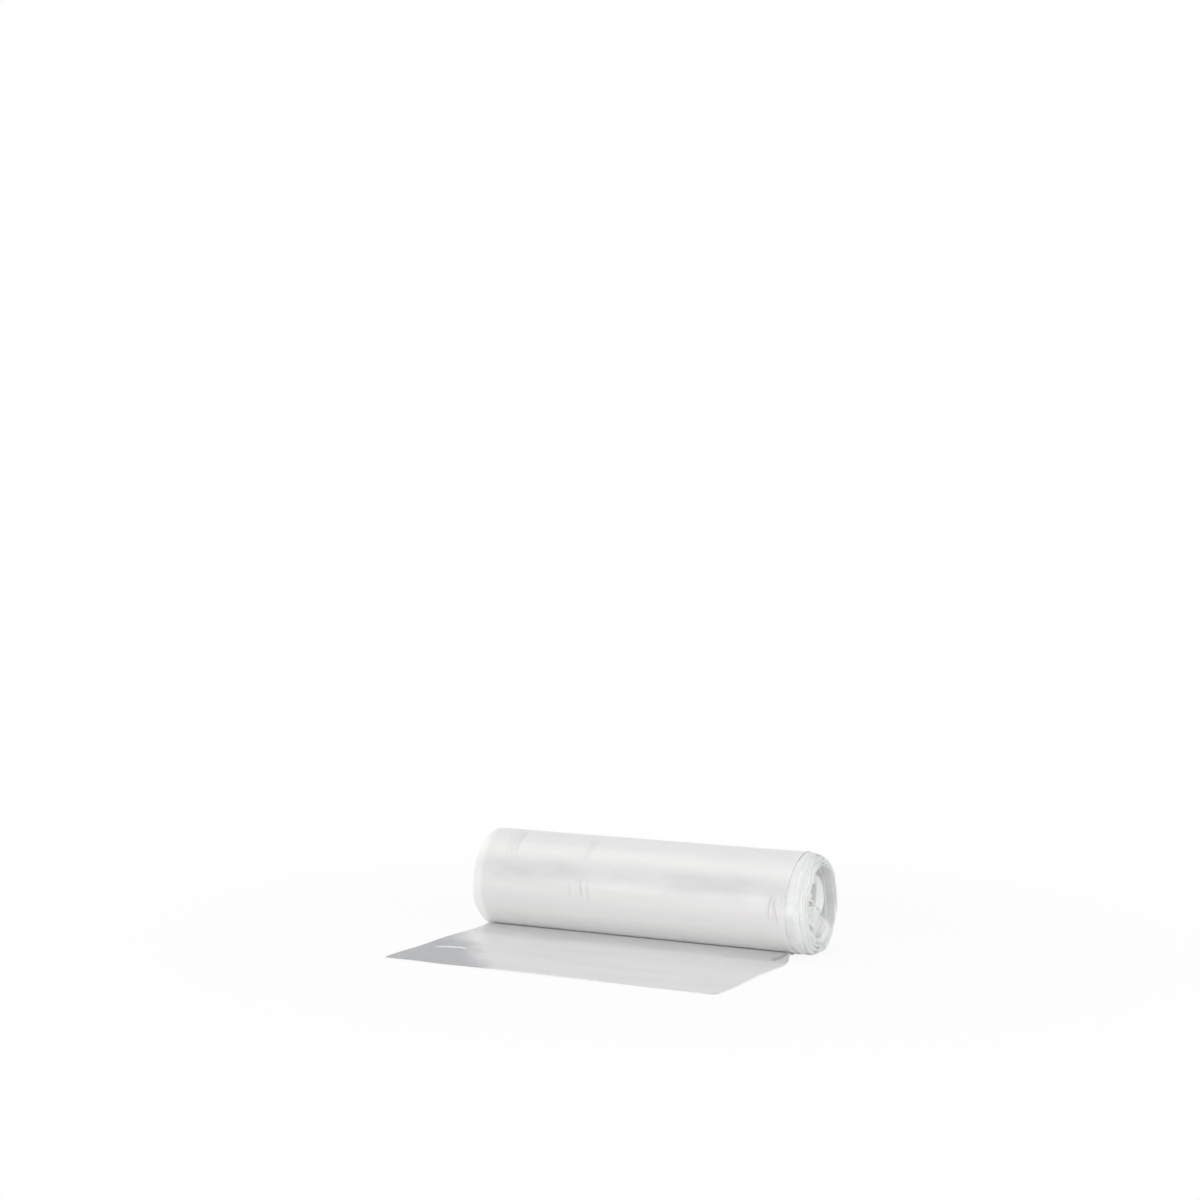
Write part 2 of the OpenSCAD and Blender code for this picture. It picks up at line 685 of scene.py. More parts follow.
@dataclass
class OuterWeb(Stretch[Stop]):
    """The loose end and the outermost turn, one stretch of film with its creases and ripples.

    Attributes:
        loose_length: Length of the loose end.
        turns: Turns that the piece takes round the roll.
        cell: Length of the mesh's cells along the web.
        wide_cell: Their width across it.
        fine_cell: Their width at a fold, or where a crease crosses them.
        crease_reach: How far before and past a crease's X they are that narrow.
        ripple: Height of the loose end's ripples.
        ripple_rise: Distance over which they come in.
        ripple_level: How much of the film they lift.
        ripples: Length across the web, length along it, layer and share of each kind of ripple.
        corner: Radius of the loose end's two corners.
        ragged: How far the torn edge runs in and out.
        ragged_length: Distance from one place where it does to the next.
        edge_lift: How far the fold at the roll's +X end stands off the turn under it.
        edge_reach: How far in from the fold it does.
        edge_waves: Number of places round the roll where it does.
        peel: How far in front of the resting line the loose end leaves the roll.
        settle: Distance over which it then comes down to the table.
        right_edge: Runs on the loose end, and how far its +X edge has strayed outwards there.
        right_reach: How far in from that edge the film has strayed with it.
        left_stray: How far its -X edge has strayed outwards.
        left_reach: How far in from it the film has.
        roll_creases: The creases on the roll, by angle and X.
        loose_creases: The creases on the loose end, by run and X.
    """

    loose_length: float
    turns: float = 1.12
    cell: float = 1.55 * MILLI
    wide_cell: float = 2.3 * MILLI
    fine_cell: float = 0.42 * MILLI
    crease_reach: Spot = (3 * MILLI, 2 * MILLI)
    ripple: float = 0.9 * MILLI
    ripple_rise: float = 30 * MILLI
    ripple_level: float = 0.4
    ripples: tuple[tuple[float, float, float, float], ...] = (
        (90 * MILLI, 45 * MILLI, 3.1, 1.0), (30 * MILLI, 60 * MILLI, 8.4, 0.4),
    )
    corner: float = 3.5 * MILLI
    ragged: float = 0.35 * MILLI
    ragged_length: float = 3 * MILLI
    edge_lift: float = 0.45 * MILLI
    edge_reach: float = 5 * MILLI
    edge_waves: float = 30
    peel: float = 12.5 * MILLI
    settle: float = 22 * MILLI
    right_edge: tuple[Spot, ...] = (
        (-0.135, -0.2 * MILLI), (-0.090, 1.2 * MILLI), (-0.055, 2.4 * MILLI),
        (-0.044, 3.0 * MILLI), (-0.036, 2.2 * MILLI), (-0.028, 0.2 * MILLI),
        (-0.019, -2.6 * MILLI), (-0.011, -5.0 * MILLI), (0.005, -5.0 * MILLI),
    )
    right_reach: float = 22 * MILLI
    left_stray: float = 1.8 * MILLI
    left_reach: float = 40 * MILLI
    roll_creases: tuple[Crease, ...] = (
        Crease((186, -0.0872), (232, -0.0850), 1.08 * MILLI, 0.55 * MILLI),
        Crease((192, -0.0900), (234, -0.0884), 0.90 * MILLI, 0.55 * MILLI),
        Crease((202, -0.0929), (238, -0.0910), 0.61 * MILLI, 0.55 * MILLI),
        Crease((190, -0.0345), (224, -0.0338), 0.90 * MILLI, 0.55 * MILLI),
        Crease((196, -0.0372), (234, -0.0362), 0.83 * MILLI, 0.55 * MILLI),
        Crease((258, -0.0437), (280, -0.0426), 0.60 * MILLI, 0.55 * MILLI),
        Crease((256, -0.0362), (278, -0.0352), 0.90 * MILLI, 0.55 * MILLI),
        Crease((258, -0.0315), (283, -0.0301), 0.85 * MILLI, 0.55 * MILLI),
        Crease((256, 0.0895), (284, 0.0880), 1.00 * MILLI, 0.85 * MILLI),
        Crease((256, 0.0910), (286, 0.0940), 1.08 * MILLI, 0.85 * MILLI),
    )
    loose_creases: tuple[Crease, ...] = (
        Crease((-0.0925, -0.1020), (-0.0875, -0.0830), 0.90 * MILLI, 1.50 * MILLI),
        Crease((-0.0380, 0.0905), (-0.0120, 0.0935), 1.90 * MILLI, 0.90 * MILLI),
        Crease((-0.1110, -0.0620), (-0.1150, -0.0500), 0.35 * MILLI, 1.00 * MILLI),
        Crease((-0.1150, 0.0810), (-0.0600, 0.0705), 0.30 * MILLI, 1.60 * MILLI),
        Crease((-0.0620, -0.0020), (-0.0660, 0.0290), 0.22 * MILLI, 1.30 * MILLI),
        Crease((-0.1020, 0.0080), (-0.0780, 0.0420), 0.20 * MILLI, 1.50 * MILLI),
    )

    HOLD = Hold.LAID

    @property
    def swell(self) -> float:
        """Returns 1, as one turn's folds are no thicker than the rest of it."""
        return 1.0

    def columns(self) -> list[float]:
        """Spaces out the mesh's lines along the web, closer together at folds and creases.

        Returns:
            Their distances from the web's middle, from its -X fold to its +X fold.
        """
        w = self.winding
        half, fold = w.web_width / 2, w.web_thickness / 2
        slid = w.slide(w.roll_radius, 0.0)
        before, past = self.crease_reach
        creased = [(min(c.start[1], c.end[1]) - before, max(c.start[1], c.end[1]) + past)
                   for c in self.roll_creases]

        def near(across: float) -> bool:
            """Returns whether a fold, or a crease on the roll, is near a distance across."""
            at_fold = half - abs(across) < self.corner + self.wide_cell
            return at_fold or any(low < across + slid < high for low, high in creased)

        inner = spaced(-half + 2 * fold, half - 2 * fold, self.wide_cell, self.fine_cell, near)
        return [-half, -half + fold, *inner, half - fold, half]

    def stops(self) -> list[Stop]:
        """Returns the lines across the web.

        Returns:
            The lines, from the torn edge to under the web's own first turn.
        """
        w = self.winding
        flat_end = w.flat_width / 2
        loose_cells = round((self.loose_length + flat_end) / self.cell)
        loose = steps(-self.loose_length, flat_end, loose_cells)
        runs = [loose[0], loose[0] + w.web_thickness, *loose[1:-1]]
        first = w.flat_angle / math.tau
        wound_cells = round((self.turns - first) * math.tau * w.roll_radius / self.cell)
        return [*map(w.loose, runs), *map(w.wound, steps(first, self.turns, wound_cells))]

    def roll_lift(self, stop: Stop, across: float, x: float) -> float:
        """Returns how far the outermost film stands off its own winding.

        Args:
            stop: The line across the web.
            across: Distance across it from the web's middle.
            x: X of the place.

        Returns:
            Height of the creases and of the fold's curl.
        """
        degrees = math.degrees(stop.angle)
        unit = math.tau * stop.radius / 360
        creased = sum(crease.lift(degrees, x, unit) for crease in self.roll_creases)
        at_fold = eased(1 - (self.winding.web_width / 2 - across) / self.edge_reach)
        curled = self.edge_lift * at_fold * (0.5 + round_waves(stop.angle, self.edge_waves, 2.0))
        # It lies close where the roll rests on it, and where the web has come round again
        on_top = eased(6 * (1 - math.cos(stop.angle))) * clamped(10 * (1 - stop.turns))
        return creased + max(0.0, curled) * on_top

    def clinging_lift(self, run: float) -> float:
        """Returns how far the loose end stands off the table because it clings to the roll.

        Args:
            run: Run of the place, below 0 in front of the roll.

        Returns:
            Its height above the table.
        """
        w = self.winding
        touching = min(-run, self.peel)
        height = w.centre_height - math.sqrt(w.roll_radius**2 - max(touching, 0.0) ** 2)
        left = 1 - clamped((-run - self.peel) / self.settle)
        return max(0.0, height - 2 * w.web_thickness) * left * left

    def loose_lift(self, stop: Stop, x: float) -> float:
        """Returns how far the loose end stands off the table.

        Args:
            stop: The line across the web.
            x: X of the place on it.

        Returns:
            Height of its creases, its ripples and what clings to the roll.
        """
        free = eased((-stop.run - self.winding.flat_width) / self.ripple_rise)
        swell = sum((share * waves(x / across, stop.run / along, layer)
                     for across, along, layer, share in self.ripples), self.ripple_level)
        creased = sum(crease.lift(stop.run, x, 1.0) for crease in self.loose_creases)
        return creased + self.ripple * free * max(0.0, swell) + self.clinging_lift(stop.run)

    def torn(self, stop: Stop, across: float) -> float:
        """Returns how far the film's Y is from its line, as the torn edge is rounded and ragged.

        Args:
            stop: The line across the web.
            across: Distance across it from the web's middle.

        Returns:
            Distance along +Y, 0 away from the torn edge.
        """
        near_edge = eased(1 - (stop.run + self.loose_length) / (3 * self.corner))
        beside = clamped((abs(across) - self.winding.web_width / 2) / self.corner + 1)
        rounded = self.corner * (1 - math.sqrt(1 - beside * beside))
        tattered = self.ragged * waves(across / self.ragged_length, 0.4, 0.7, 2)
        return near_edge * (rounded + tattered)

    def stray(self, stop: Stop, across: float) -> float:
        """Returns how far the loose end has strayed sideways, near its two edges.

        Args:
            stop: The line across the web.
            across: Distance across it from the web's middle.

        Returns:
            Distance along +X.
        """
        half = self.winding.web_width / 2
        share, before = 0.0, self.right_edge[0]
        for after in self.right_edge[1:]:
            if before[0] <= stop.run <= after[0]:
                share = (stop.run - before[0]) / (after[0] - before[0])
                break
            before = after
        right = before[1] + (after[1] - before[1]) * share
        left = self.left_stray * eased((-stop.run - self.peel) / self.settle)
        at_right = eased((across - half) / self.right_reach + 1)
        at_left = eased((-across - half) / self.left_reach + 1)
        return right * at_right - left * at_left

    def place(self, stop: Stop, across: float, depth: float) -> Vector:
        """Places a point of the web.

        Args:
            stop: The line across the web that it is on.
            across: Distance across from the web's middle.
            depth: Depth from the web's outer face.

        Returns:
            Where the point lies.
        """
        x = stop.slid + across
        if stop.wound:
            lift = self.roll_lift(stop, across, x) + self.winding.unevenness(stop, x)
            return self.winding.point(stop, x, depth, lift)
        x += self.stray(stop, across)
        spot = self.winding.point(stop, x, depth, self.loose_lift(stop, x))
        spot.y += self.torn(stop, across)
        return spot


@dataclass
class WoundTurns(Stretch[Stop]):
    """A stretch of the web inside the roll, whose folds show at the roll's two ends.

    Attributes:
        first_turn: Turns in from the loose end at which it starts.
        last_turn: Turns in at which it ends.
        facets: Facets in one turn.
        wander: How far the folds run in and out along the roll.
        clump_share: How much of that turns do together, in clumps.
        single_share: How much of it each does alone.
        wander_length: Distance round the roll from one place where they do to the next.
        clump_depth: Depth of such a clump.
        flutter: How far the film near its folds stands off its winding.
        flutter_reach: How far in from a fold it does.
        flutter_length: Distance round the roll from one such place to the next.
        flutter_depth: Distance towards the axis from one to the next.
        still_turns: Turns in from the loose end up to which the film does neither.
        unrest_turns: Turns over which that then comes in.
        edge_rows: Distances in from each fold of the mesh's lines, in millimetres.
    """

    first_turn: float
    last_turn: float
    facets: int
    wander: float = 0.8 * MILLI
    clump_share: float = 1.4
    single_share: float = 0.6
    wander_length: float = 3.5 * MILLI
    clump_depth: float = 1.6 * MILLI
    flutter: float = 0.5 * MILLI
    flutter_reach: float = 12 * MILLI
    flutter_length: float = 1.75 * MILLI
    flutter_depth: float = 7 * MILLI
    still_turns: float = 1.12
    unrest_turns: float = 0.5
    edge_rows: tuple[float, ...] = (0.0, 0.16, 0.6, 1.4, 3.0, 6.0, 12.0, 22.0)

    # Layers of the noise for each metre of depth, and the first one, for what a turn does alone
    OWN_LAYERS = 1.7 / MILLI
    OWN_FROM = 20
    # Each end of the roll flutters in layers this far from the middle one
    END_LAYER = 9.0

    @property
    def swell(self) -> float:
        """Returns how many times as thick the web is at its folds, which touch the next turn's."""
        return self.winding.pitch / self.winding.web_thickness

    def columns(self) -> list[float]:
        """Returns the distances from the web's middle, close together at its folds."""
        return fold_rows(self.winding.web_width, self.edge_rows)

    def stops(self) -> list[Stop]:
        """Returns the lines across the web."""
        count = round((self.last_turn - self.first_turn) * self.facets)
        return [self.winding.wound(t) for t in steps(self.first_turn, self.last_turn, count)]

    def unsettled(self, stop: Stop) -> float:
        """Returns how much the film wanders and flutters at a line, from 0 to 1."""
        return eased((stop.turns - self.still_turns) / self.unrest_turns)

    def strayed(self, stop: Stop) -> float:
        """Returns how far a line has strayed along the roll, with its clump and on its own.

        Args:
            stop: The line.

        Returns:
            Distance along +X.
        """
        depth = self.winding.depth(stop.turns)
        count = stop.radius / self.wander_length
        clump = self.clump_share * round_waves(stop.angle, count, depth / self.clump_depth)
        own_layer = depth * self.OWN_LAYERS + self.OWN_FROM
        single = self.single_share * round_waves(stop.angle, count * 2, own_layer)
        return self.wander * (clump + single) * self.unsettled(stop)

    def place(self, stop: Stop, across: float, depth: float) -> Vector:
        """Places a point of the web.

        Args:
            stop: The line across the web that it is on.
            across: Distance across from the web's middle.
            depth: Depth from the web's outer face.

        Returns:
            Where the point lies.
        """
        w = self.winding
        x = stop.slid + across + self.strayed(stop)
        at_fold = eased(1 - (w.web_width / 2 - abs(across)) / self.flutter_reach)
        layer = stop.radius / self.flutter_depth + math.copysign(self.END_LAYER, across)
        flap = round_waves(stop.angle, stop.radius / self.flutter_length, layer)
        fluttered = self.flutter * at_fold * self.unsettled(stop) * flap
        return w.point(stop, x, depth, w.unevenness(stop, x) + fluttered)


@dataclass
class CrumpledStart(Stretch[Bend]):
    """The start of the web, crumpled in the hollow from its slit down, as there is no core.

    Attributes:
        top: Its highest place, from the roll's axis.
        bottom: Its lowest place.
        swing: How far it swings to each side.
        swings: Number of those swings.
        swing_start: Where in a swing it starts, in radians.
        steepness: How it comes down: under 1, it falls fastest at its top.
        bends: Number of facets along it.
        sink: How far its folds lie behind the roll's mean end.
        wander: How far they run in and out.
        flop: How far they flop over to one side.
        flop_reach: How far in from a fold the film does.
        flop_run: Run over which they come to flop less.
        fold_swell: How many times as thick its folds are.
        edge_rows: Distances in from each fold of the mesh's lines, in millimetres.
    """

    top: float = 11.5 * MILLI
    bottom: float = -6.2 * MILLI
    swing: float = 3.2 * MILLI
    swings: float = 2.5
    swing_start: float = 0.6
    steepness: float = 0.55
    bends: int = 200
    sink: float = 1.6 * MILLI
    wander: float = 2.2 * MILLI
    flop: float = 3.4 * MILLI
    flop_reach: float = 7 * MILLI
    flop_run: float = 20 * MILLI
    fold_swell: float = 4.2
    edge_rows: tuple[float, ...] = (0.0, 0.1, 0.3, 0.7, 1.4, 2.4, 4.0, 6.0, 9.0, 15.0, 26.0)

    @property
    def swell(self) -> float:
        """Returns how many times as thick the web is at its folds."""
        return self.fold_swell

    def columns(self) -> list[float]:
        """Returns the distances from the web's middle, close together at its folds."""
        return fold_rows(self.winding.web_width, self.edge_rows)

    def middle(self, share: float) -> Vector:
        """Returns the middle of the film, steep at first and then in closer, wider swings.

        Args:
            share: Share of the way along it.

        Returns:
            (Y, Z) from the roll's axis.
        """
        z = self.top + (self.bottom - self.top) * share**self.steepness
        width = self.swing * (0.45 + 0.55 * eased(2.5 * share))
        uneven = 1 + 0.5 * waves(share * 7, 3.0, 1.0)
        angle = math.tau * self.swings * share + self.swing_start
        return Vector((width * uneven * math.sin(angle), z))

    def stops(self) -> list[Bend]:
        """Returns the lines across the web.

        Returns:
            The lines, from its slit down.
        """
        lines, run = [], 0.0
        for share in steps(0.0, 1.0, self.bends):
            here, next_one = self.middle(share), self.middle(share + 1 / self.bends)
            way = (next_one - here).normalized()
            deeper = self.sink * eased(1.2 - 3 * share)
            strayed = self.wander * waves(share * 8, 2.3, 0.5, 2) - self.sink - deeper
            lines.append(Bend(run, here, Vector((-way.y, way.x)), strayed))
            run += (next_one - here).length
        return lines

    def place(self, stop: Bend, across: float, depth: float) -> Vector:
        """Places a point of the web.

        Args:
            stop: The line across the web that it is on.
            across: Distance across from the web's middle.
            depth: Depth from the web's outer face.

        Returns:
            Where the point lies.
        """
        from_fold = self.winding.web_width / 2 - abs(across)
        over = eased(1 - from_fold / self.flop_reach)
        upright = 1 - 0.6 * eased(stop.run / self.flop_run)
        spot = stop.middle + stop.inward * depth + Vector((self.flop * over * upright, 0.0))
        return Vector((stop.slid + across, spot.x, self.winding.centre_height + spot.y))


class Value:
    """A number in a material. Each sum on it adds the Math node that does it."""

    def __init__(self, graph: "Graph", socket: bpy.types.NodeSocket) -> None:
        """Wraps an output socket of a graph."""
        self.graph = graph
        self.socket = socket

    def __add__(self, other: "Value | float") -> "Value":
        """Returns the sum."""
        return self.graph.maths("ADD", self, other)

    __radd__ = __add__

    def __mul__(self, other: "Value | float") -> "Value":
        """Returns the product."""
        return self.graph.maths("MULTIPLY", self, other)

    __rmul__ = __mul__

    def __sub__(self, other: "Value | float") -> "Value":
        """Returns the difference."""
        return self.graph.maths("SUBTRACT", self, other)

    def __rsub__(self, other: "Value | float") -> "Value":
        """Returns the difference, the other way round."""
        return self.graph.maths("SUBTRACT", other, self)

    def highest(self, other: "Value | float") -> "Value":
        """Returns the greater of the two."""
        return self.graph.maths("MAXIMUM", self, other)


class Graph:
    """The nodes of one material or world."""

    def __init__(self, tree: bpy.types.NodeTree) -> None:
        """Starts from an emptied node tree."""
        self.tree = tree
        tree.nodes.clear()

    def node(self, kind: str, settings: dict | None = None, **sockets: object) -> bpy.types.Node:
        """Adds a node.

        Args:
            kind: The node's type, such as ShaderNodeBump.
            settings: Properties that are set first.
            **sockets: Values or links by input name, with _ for a space, or by number as in0.

        Returns:
            The node.
        """
        made = self.tree.nodes.new(kind)
        for key, setting in (settings or {}).items():
            setattr(made, key, setting)
        for key, given in sockets.items():
            place = int(key[2:]) if key[:2] == "in" and key[2:].isdigit() else key.replace("_", " ")
            self._feed(made.inputs[place], given)
        return made

    def _feed(self, socket: bpy.types.NodeSocket, given: object) -> None:
        """Links or sets one input socket.

        Args:
            socket: The input socket.
            given: A value or an output socket to link, or what to set it to.
        """
        if isinstance(given, Value):
            self.tree.links.new(given.socket, socket)
        elif isinstance(given, bpy.types.NodeSocket):
            self.tree.links.new(given, socket)
        else:
            socket.default_value = given

    def maths(self, operation: str, *terms: "Value | float") -> Value:
        """Adds a Math node.

        Args:
            operation: What it does, such as ADD.
            *terms: What it does that to.

        Returns:
            The outcome.
        """
        sockets = {f"in{i}": term for i, term in enumerate(terms)}
        made = self.node("ShaderNodeMath", {"operation": operation}, **sockets)
        return Value(self, made.outputs[0])

    def between(self, value: Value, low: float, high: float) -> Value:
        """Adds a soft step from 0 to 1.

        Args:
            value: What the step depends on.
            low: Where the step starts.
            high: Where it ends.

        Returns:
            The step.
        """
        made = self.node("ShaderNodeMapRange", {"interpolation_type": "SMOOTHSTEP"},
                         Value=value, From_Min=low, From_Max=high)
        return Value(self, made.outputs["Result"])

    def mixed(self, share: Value | float, first: object, second: object) -> bpy.types.NodeSocket:
        """Returns a mix of two colours."""
        made = self.node("ShaderNodeMix", {"data_type": "RGBA"}, in0=share, in6=first, in7=second)
        return made.outputs[2]

    def noise(self, place: bpy.types.NodeSocket, scale: tuple[float, float, float],
              detail: float = 3.0, roughness: float = 0.5) -> Value:
        """Adds smooth noise.

        Args:
            place: Where the noise is read.
            scale: What each of that place's three parts is multiplied by.
            detail: Number of finer layers in it.
            roughness: How strong each of those is.

        Returns:
            The noise, from about 0 to 1.
        """
        scaled = self.node("ShaderNodeVectorMath", {"operation": "MULTIPLY"}, in0=place, in1=scale)
        made = self.node("ShaderNodeTexNoise", None, Vector=scaled.outputs[0], Scale=1.0,
                         Detail=detail, Roughness=roughness)
        return Value(self, made.outputs["Fac"])

    def patches(self, place: bpy.types.NodeSocket, scale: tuple[float, float, float],
                low: float, high: float, detail: float = 3.0) -> Value:
        """Returns noise whose steps from 0 to 1 lie between a low and a high value of it."""
        return self.between(self.noise(place, scale, detail), low, high)

    def part(self, place: bpy.types.NodeSocket, axis: str) -> Value:
        """Returns one of the three parts, X, Y or Z, of a place."""
        split = self.node("ShaderNodeSeparateXYZ", None, Vector=place)
        return Value(self, split.outputs[axis])


@dataclass(frozen=True)
class PaintedCreaseLight:
    """A crease painted paler or darker than the film beside it, as a painted highlight on a ridge or
    the painted shadow of a fold.

    Attributes:
        start: (across, run) where it starts.
        end: (across, run) where it ends.
        reach: How far it reaches to each side.
        colour: Its colour, that of the painted highlight or of the painted shadow.
    """

    start: Spot
    end: Spot
    reach: float
    colour: Colour

    FULL_LENGTH = 0.6
    FULL_WIDTH = 0.15

    def share(self, graph: Graph, place: bpy.types.NodeSocket) -> Value:
        """Returns where the crease is.

        Args:
            graph: The material's graph.
            place: (across, run, share of the thickness) on the film.

        Returns:
            1 on the crease, and 0 away from it.
        """
        along = Vector(self.end) - Vector(self.start)
        half, way = along.length / 2, along.normalized()
        x = graph.part(place, "X") - (self.start[0] + self.end[0]) / 2
        y = graph.part(place, "Y") - (self.start[1] + self.end[1]) / 2
        on_line = graph.maths("ABSOLUTE", x * way.x + y * way.y)
        off_line = graph.maths("ABSOLUTE", x * way.y - y * way.x)
        ends = 1 - graph.between(on_line, half * self.FULL_LENGTH, half)
        sides = 1 - graph.between(off_line, self.reach * self.FULL_WIDTH, self.reach)
        return ends * sides


@dataclass(frozen=True)
class FilmFinish:
    """Milky high-density polyethylene film, satin, with soft bands and fine wrinkles.

    Attributes:
        name: Name of the material.
        light: Its colour where the film is full and bright.
        shade: Its colour in the soft darker bands that run along the roll.
        band_and_shadow_grey: Colour of its darker bands, painted shadow among them.
        bands_and_painted_shadow: Run at the middle, reach and strength of each darker band.
        dull_least: Share of its strength that a darker band has where it is faintest.
        dull_rise: How much more it has in other places.
        painted_crease_light: Its creases painted paler or darker: painted highlights and painted
            shadows.
        blush: Its colour in the faintly pink bands.
        blush_share: The most of that colour.
        roughness: Its roughness where it is smoothest.
        satin: How much rougher it is in other places.
        milk: How much of the light goes through the film and scatters in it.
        milk_reach: How far that light gets.
        rim: Strength of the pale rim that the film has where it is seen edge on.
        rim_roughness: How wide that rim is.
        rim_colour: Colour of that rim.
        wrinkle: Height of the broad wrinkles.
        fine_wrinkle: Height of the fine ones, as a share of that.
        loose: Its colour on the loose end, where the film has one.
        loose_share: How much of that colour it has.
        loose_fade: How far to each side of the roll's resting line that fades out.
        streak_share: The most of the margin colour in the loose end's streaks.
        margin: Its grey in those streaks, and as painted shade in one corner of the loose end.
        margin_slant: How far the painted shade's border runs back for each metre across.
        margin_place: Where that border crosses the roll's resting line, from the web's middle.
        margin_blur: Width of the border.
    """

    name: str
    light: Colour = (0.87, 0.868, 0.855, 1.0)
    shade: Colour = (0.83, 0.83, 0.825, 1.0)
    band_and_shadow_grey: Colour = (0.60, 0.595, 0.60, 1.0)
    bands_and_painted_shadow: tuple[tuple[float, float, float], ...] = ()
    dull_least: float = 0.55
    dull_rise: float = 0.8
    painted_crease_light: tuple[PaintedCreaseLight, ...] = ()
    blush: Colour = (0.86, 0.83, 0.835, 1.0)
    blush_share: float = 0.6
    roughness: float = 0.26
    satin: float = 0.2
    milk: float = 0.35
    milk_reach: float = 2.0 * MILLI
    rim: float = 0.12
    rim_roughness: float = 0.35
    rim_colour: Colour = (0.88, 0.92, 1.0, 1.0)
    wrinkle: float = 0.12 * MILLI
    fine_wrinkle: float = 0.35
    loose: Colour | None = None
    loose_share: float = 0.85
    loose_fade: float = 4 * MILLI
    streak_share: float = 0.14
    margin: Colour = (0.33, 0.335, 0.35, 1.0)
    margin_slant: float = 0.72
    margin_place: float = -0.123
    margin_blur: float = 26 * MILLI

    BAND_CORE = 0.15

    def material(self) -> bpy.types.Material:
        """Builds the finish.

        Returns:
            The finish as a material.
        """
        made = bpy.data.materials.new(self.name)
        made.use_nodes = True
        graph = Graph(made.node_tree)
        web = graph.node("ShaderNodeAttribute", {"attribute_name": FilmTube.ATTRIBUTE})
        place = web.outputs["Vector"]
        satin = graph.noise(place, (60.0, 140.0, 0.0))
        fine = graph.noise(place, (420.0, 900.0, 0.0), 4.0, 0.6)
        broad = graph.noise(place, (90.0, 260.0, 0.0), 3.0, 0.55)
        bump = graph.node("ShaderNodeBump", None, Strength=1.0, Distance=self.wrinkle,
                          Height=fine * self.fine_wrinkle + broad)
        shader = graph.node("ShaderNodeBsdfPrincipled", None, Base_Color=self.colour(graph, place),
                            Roughness=satin * self.satin + self.roughness, IOR=1.5,
                            Subsurface_Weight=self.milk, Subsurface_Radius=(1.0, 1.0, 1.0),
                            Subsurface_Scale=self.milk_reach, Sheen_Weight=self.rim,
                            Sheen_Roughness=self.rim_roughness, Sheen_Tint=self.rim_colour,
                            Normal=bump.outputs["Normal"])
        graph.node("ShaderNodeOutputMaterial", None, Surface=shader.outputs["BSDF"])
        return made

    def colour(self, graph: Graph, place: bpy.types.NodeSocket) -> bpy.types.NodeSocket:
        """Builds the film's colour: soft bands along the roll, and the loose end's own.

        Args:
            graph: The material's graph.
            place: (across, run, share of the thickness) on the film.

        Returns:
            The colour.
        """
        bands = graph.patches(place, (3.0, 70.0, 0.0), 0.35, 0.65)
        mixed = graph.mixed(bands, self.light, self.shade)
        blushing = graph.patches(place, (9.0, 38.0, 4.0), 0.5, 0.7, detail=2.0)
        mixed = graph.mixed(blushing * self.blush_share, mixed, self.blush)
        run = graph.part(place, "Y")
        if self.loose:
            on_loose = 1 - graph.between(run, -self.loose_fade, self.loose_fade)
            streaks = graph.patches(place, (9.0, 50.0, 2.0), 0.45, 0.7)
            laid = graph.mixed(streaks * self.streak_share, self.loose, self.margin)
            mixed = graph.mixed(on_loose * self.loose_share, mixed, laid)
            # Painted shade in the loose end's -X corner: darker, bluer film that stands for a shadow
            # and a dark reflection
            mixed = graph.mixed(self.margin_share(graph, place), mixed, self.margin)
        patchy = graph.patches(place, (16.0, 40.0, 0.0), 0.35, 0.65) * self.dull_rise + self.dull_least
        # Darker bands, painted shadow among them
        for middle, reach, strength in self.bands_and_painted_shadow:
            off = graph.maths("ABSOLUTE", run - middle)
            share = (1 - graph.between(off, reach * self.BAND_CORE, reach)) * patchy * strength
            mixed = graph.mixed(share, mixed, self.band_and_shadow_grey)
        # Creases painted paler or darker: painted highlights and painted shadows
        for fold in self.painted_crease_light:
            mixed = graph.mixed(fold.share(graph, place), mixed, fold.colour)
        return mixed

    def margin_share(self, graph: Graph, place: bpy.types.NodeSocket) -> Value:
        """Returns where the loose end has painted shade in its -X corner.

        Args:
            graph: The material's graph.
            place: (across, run, share of the thickness) on the film.

        Returns:
            1 in its corner of painted shade, and 0 past that corner's slanting border.
        """
        slanted = graph.part(place, "X") + graph.part(place, "Y") * self.margin_slant
        uneven = graph.noise(place, (40.0, 40.0, 0.0)) * self.margin_blur
        low = self.margin_place - self.margin_blur / 2
        return 1 - graph.between(slanted + uneven, low, low + self.margin_blur)


@dataclass(frozen=True)
class Softbox:
    """A square lamp that is turned towards the roll.

    Attributes:
        name: Name of the lamp.
        place: Where its middle is.
        size: Length of its side.
        power: Its power in watts.
    """

    name: str
    place: tuple[float, float, float]
    size: float
    power: float

    def hang(self) -> None:
        """Adds the lamp to the scene."""
        data = bpy.data.lights.new(self.name, "AREA")
        data.shape, data.size, data.energy = "SQUARE", self.size, self.power
        lamp = linked(self.name, data)
        lamp.location = self.place
        lamp.rotation_mode = "QUATERNION"
        lamp.rotation_quaternion = (-Vector(self.place)).to_track_quat("-Z", "Y")


